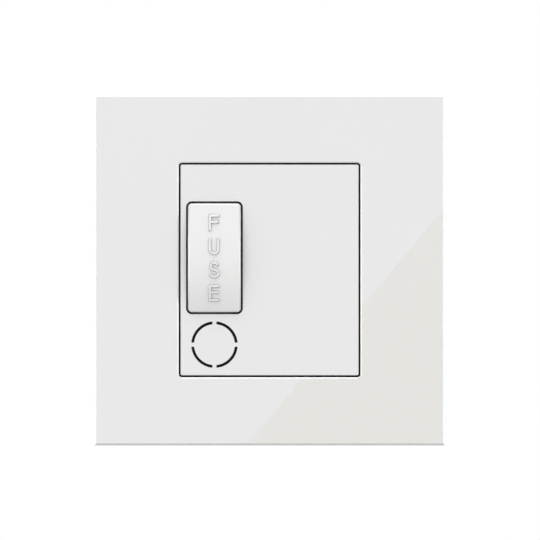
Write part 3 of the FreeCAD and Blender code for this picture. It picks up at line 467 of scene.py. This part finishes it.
zinc_steel = surface(
    "zinc_steel",
    lambda f: f.tint(f.sharpen(f.noise(0.014, 5.0), 0.3, 0.7), (0.60, 0.62, 0.65), (0.53, 0.55, 0.59)),
    lambda f: 0.30 + 0.18 * drawn_lines(f, ALONG_X) + 0.08 * f.noise(0.004, 3.0),
    lambda f: f.bump(drawn_lines(f, ALONG_X), 0.25, 0.00003),
    Metallic=1.0,
)

terminal_brass = surface(
    "terminal_brass",
    lambda f: f.tint(f.noise(0.004, 4.0), (0.70, 0.53, 0.24), (0.80, 0.64, 0.34)),
    lambda f: 0.20 + 0.22 * drawn_lines(f, ALONG_Z),
    lambda f: f.bump(drawn_lines(f, ALONG_Z), 0.3, 0.00003),
    Metallic=1.0,
)

contact_strip = surface(
    "contact_strip",
    lambda f: f.tint(f.sharpen(f.noise(0.003, 5.0), 0.4, 0.75), (0.80, 0.56, 0.38), (0.56, 0.34, 0.22)),
    lambda f: 0.24 + 0.2 * drawn_lines(f, ALONG_Z),
    lambda f: f.bump(drawn_lines(f, ALONG_Z), 0.2, 0.00003),
    Metallic=1.0,
)

plated_cap = surface(
    "plated_cap",
    lambda f: f.tint(f.noise(0.002, 3.0), (0.66, 0.64, 0.59), (0.76, 0.74, 0.70)),
    lambda f: 0.16 + 0.16 * drawn_lines(f, ROUND_Z),
    lambda f: f.bump(drawn_lines(f, ROUND_Z), 0.2, 0.00002),
    Metallic=1.0,
)

screw_steel = surface(
    "screw_steel",
    lambda f: f.tint(f.sharpen(f.noise(0.0016, 3.0), 0.35, 0.65), (0.60, 0.64, 0.68), (0.68, 0.64, 0.50)),
    lambda f: 0.24 + 0.16 * f.noise(0.0006, 3.0),
    lambda f: f.bump(f.noise(0.0004, 3.0), 0.2, 0.00002),
    Metallic=1.0,
)

screw_brass = surface(
    "screw_brass",
    lambda f: f.tint(f.noise(0.0015, 3.0), (0.66, 0.54, 0.30), (0.78, 0.68, 0.45)),
    lambda f: 0.2 + 0.18 * f.noise(0.0006, 3.0),
    lambda f: f.bump(f.noise(0.0004, 3.0), 0.2, 0.00002),
    Metallic=1.0,
)

for slot_name, finish_made in (
    ("zinc_steel", zinc_steel), ("terminal_brass", terminal_brass), ("contact_strip", contact_strip),
    ("plated_cap", plated_cap), ("screw_steel", screw_steel), ("screw_brass", screw_brass),
):
    dress(slot_name, finish_made)

# %% [markdown]
# ## The raised word
# The carrier says FUSE down its bowed face, in rounded ridges as wide as a pencil line. A font would
# give flat slabs with sharp edges. Each ridge is instead carried along a drawn line: above the face a flat
# top with steep soft flanks, below it a shallow root, and a round end at either side. The lines are straight
# runs and arcs only, and the bow is a circle through the carrier's nose and its two ends. The carrier's
# box has a lug on its right, so its face lies left of the box's middle by half the lug.

# %% The bow of the carrier
LUG_BITE = 1.0 * MM
BULGE = 2.2 * MM

carrier_low, carrier_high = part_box("fuse_carrier")
carrier_x = (carrier_low.x + carrier_high.x - LUG_BITE) / 2
carrier_z = (carrier_low.z + carrier_high.z) / 2
nose_y = carrier_low.y
half_height = (carrier_high.z - carrier_low.z) / 2
bow_radius = (half_height**2 + BULGE**2) / (2 * BULGE)
print("bow radius in millimetres:", round(bow_radius / MM, 2))


def bow_y(z):
    """The depth of the bowed face at a height: nose + radius - sqrt(radius^2 - (z - middle)^2)."""
    return nose_y + bow_radius - np.sqrt(bow_radius**2 - (z - carrier_z) ** 2)


# %% Drawn lines of the letters, in millimetres
STEPS = 12


def run(start, end):
    """Evenly spaced points from one place to the next, without the last one."""
    part = np.linspace(0.0, 1.0, STEPS, endpoint=False)[:, None]
    return np.array(start) + part * (np.array(end) - np.array(start))


def arc(centre, radii, first, last):
    """Points of an ellipse between two angles in degrees, without the last one."""
    angle = np.radians(np.linspace(first, last, 2 * STEPS, endpoint=False))
    return np.array(centre) + np.stack([radii[0] * np.cos(angle), radii[1] * np.sin(angle)], axis=1)


LEFT, RIGHT, TOP = -1.03, 1.0, 1.70
MIDDLE_BAR, MIDDLE_END = 0.2, 0.83
BEND = 1.0
CUP_MIDDLE = -0.07
UPPER_BOWL = ((0, 0.875), (0.87, 0.825))
LOWER_BOWL = ((0, -0.81), (1.0, 0.86))
UPPER_END, LOWER_END = 28, -166


def letter_lines():
    """The lines of each letter, about its own centre, as lists of points from end to end."""
    top_left, bottom_left = (LEFT, TOP), (LEFT, -TOP)
    middle = np.vstack([run((LEFT, MIDDLE_BAR), (MIDDLE_END, MIDDLE_BAR)), (MIDDLE_END, MIDDLE_BAR)])
    hook = np.vstack([run((RIGHT, TOP), top_left), run(top_left, bottom_left), bottom_left])
    bracket = np.vstack([hook[:-1], run(bottom_left, (RIGHT, -TOP)), (RIGHT, -TOP)])
    cup = np.vstack([
        run((CUP_MIDDLE - BEND, TOP), (CUP_MIDDLE - BEND, BEND - TOP)),
        arc((CUP_MIDDLE, BEND - TOP), (BEND, BEND), 180, 360),
        run((CUP_MIDDLE + BEND, BEND - TOP), (CUP_MIDDLE + BEND, TOP)), (CUP_MIDDLE + BEND, TOP),
    ])
    last_point = arc(*LOWER_BOWL, LOWER_END, LOWER_END - 0.1)[:1]
    curl = np.vstack([arc(*UPPER_BOWL, UPPER_END, 270), arc(*LOWER_BOWL, 90, LOWER_END), last_point])
    return {"F": [hook, middle], "U": [cup], "S": [curl], "E": [bracket, middle]}


# %% A ridge along a line
RIDGE_HALF_WIDTH = 0.4
RIDGE_HEIGHT = 0.64
RIDGE_ROOT = 0.15
FLAT_SHARE = 0.5
RING = 40
END_STEPS = 6


def ridge(line):
    """Sweeps a rounded section along a line, and returns its points and faces.

    The rise depends only on d, the distance from the line as a share of the half width: it is height
    times t * t * (3 - 2 * t), where t goes from 0 at d = 1 to 1 at d = flat share. That is a flat top, steep
    flanks and a small hollow at the foot, as a moulded letter has. Past either end of the line each station
    is a chord of a circle, so that the end is round. At a corner the sideways direction is lengthened by
    1 / cos(half the turn), which mitres the two runs. Below the face the section is half an ellipse.
    """
    step = np.diff(line, axis=0)
    step /= np.linalg.norm(step, axis=1)[:, None]
    side = np.stack([-step[:, 1], step[:, 0]], axis=1)
    mean = np.vstack([side[:1], (side[:-1] + side[1:]) / 2, side[-1:]])
    sideways = mean / (mean**2).sum(axis=1)[:, None]

    quarter = np.linspace(0.0, math.pi / 2, END_STEPS + 1)[1:-1]
    before = line[0] - step[0] * (RIDGE_HALF_WIDTH * np.cos(quarter))[:, None]
    after = line[-1] + step[-1] * (RIDGE_HALF_WIDTH * np.cos(quarter[::-1]))[:, None]
    centre = np.vstack([before, line, after])
    sideways = np.vstack([np.tile(side[0], (len(before), 1)), sideways, np.tile(side[-1], (len(after), 1))])
    chord = np.concatenate([np.sin(quarter), np.ones(len(line)), np.sin(quarter[::-1])])[:, None]

    turn = np.arange(RING) * 2 * math.pi / RING
    offset = RIDGE_HALF_WIDTH * chord * np.cos(turn)
    distance = np.sqrt(1 - chord**2 + (chord * np.cos(turn)) ** 2)
    t = np.clip((1 - distance) / (1 - FLAT_SHARE), 0.0, 1.0)
    above = RIDGE_HEIGHT * t * t * (3 - 2 * t)
    rise = np.where(np.sin(turn) > 0, above, RIDGE_ROOT * chord * np.sin(turn))
    flat = centre[:, None, :] + sideways[:, None, :] * offset[:, :, None]
    poles = np.array([line[0] - step[0] * RIDGE_HALF_WIDTH, line[-1] + step[-1] * RIDGE_HALF_WIDTH])
    flat = np.vstack([flat.reshape(-1, 2), poles])
    rise = np.concatenate([rise.ravel(), [0.0, 0.0]])

    stations = len(centre)
    index = np.arange(stations * RING).reshape(stations, RING)
    ahead = np.roll(index, -1, axis=1)
    quads = np.stack([index[:-1], ahead[:-1], ahead[1:], index[1:]], axis=2).reshape(-1, 4)
    first, last = stations * RING, stations * RING + 1
    fans = [(first, b, a) for a, b in zip(index[0], ahead[0])]
    fans += [(last, a, b) for a, b in zip(index[-1], ahead[-1])]
    return flat, rise, quads.tolist() + fans


# %% The word on the carrier
LETTER_HEIGHTS = {"F": 8.55, "U": 2.74, "S": -3.0, "E": -8.69}


def raised_word():
    """All ridges in one mesh that rides on the carrier. LETTER_HEIGHTS are from the carrier's middle."""
    places, faces = [], []
    for letter, lines in letter_lines().items():
        for line in lines:
            flat, rise, ridge_faces = ridge(line)
            x = carrier_x + flat[:, 0] * MM
            z = carrier_z + (flat[:, 1] + LETTER_HEIGHTS[letter]) * MM
            start = sum(len(p) for p in places)
            places.append(np.stack([x, bow_y(z) - rise * MM, z], axis=1))
            faces += [tuple(start + int(corner) for corner in face) for face in ridge_faces]
    mesh = bpy.data.meshes.new("carrier_word")
    mesh.from_pydata(np.vstack(places).tolist(), [], faces)
    mesh.polygons.foreach_set("use_smooth", [True] * len(mesh.polygons))
    mesh.materials.append(satin_white)
    word = bpy.data.objects.new("carrier_word", mesh)
    scene.collection.objects.link(word)
    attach(word, "carrier")
    print("carrier_word has", len(mesh.polygons), "faces")


raised_word()

# %% [markdown]
# ## Greys
# The picture is shown with no film look, so that its greys come out as they are lit.

# %% Set the greys
scene.view_settings.view_transform = "Standard"
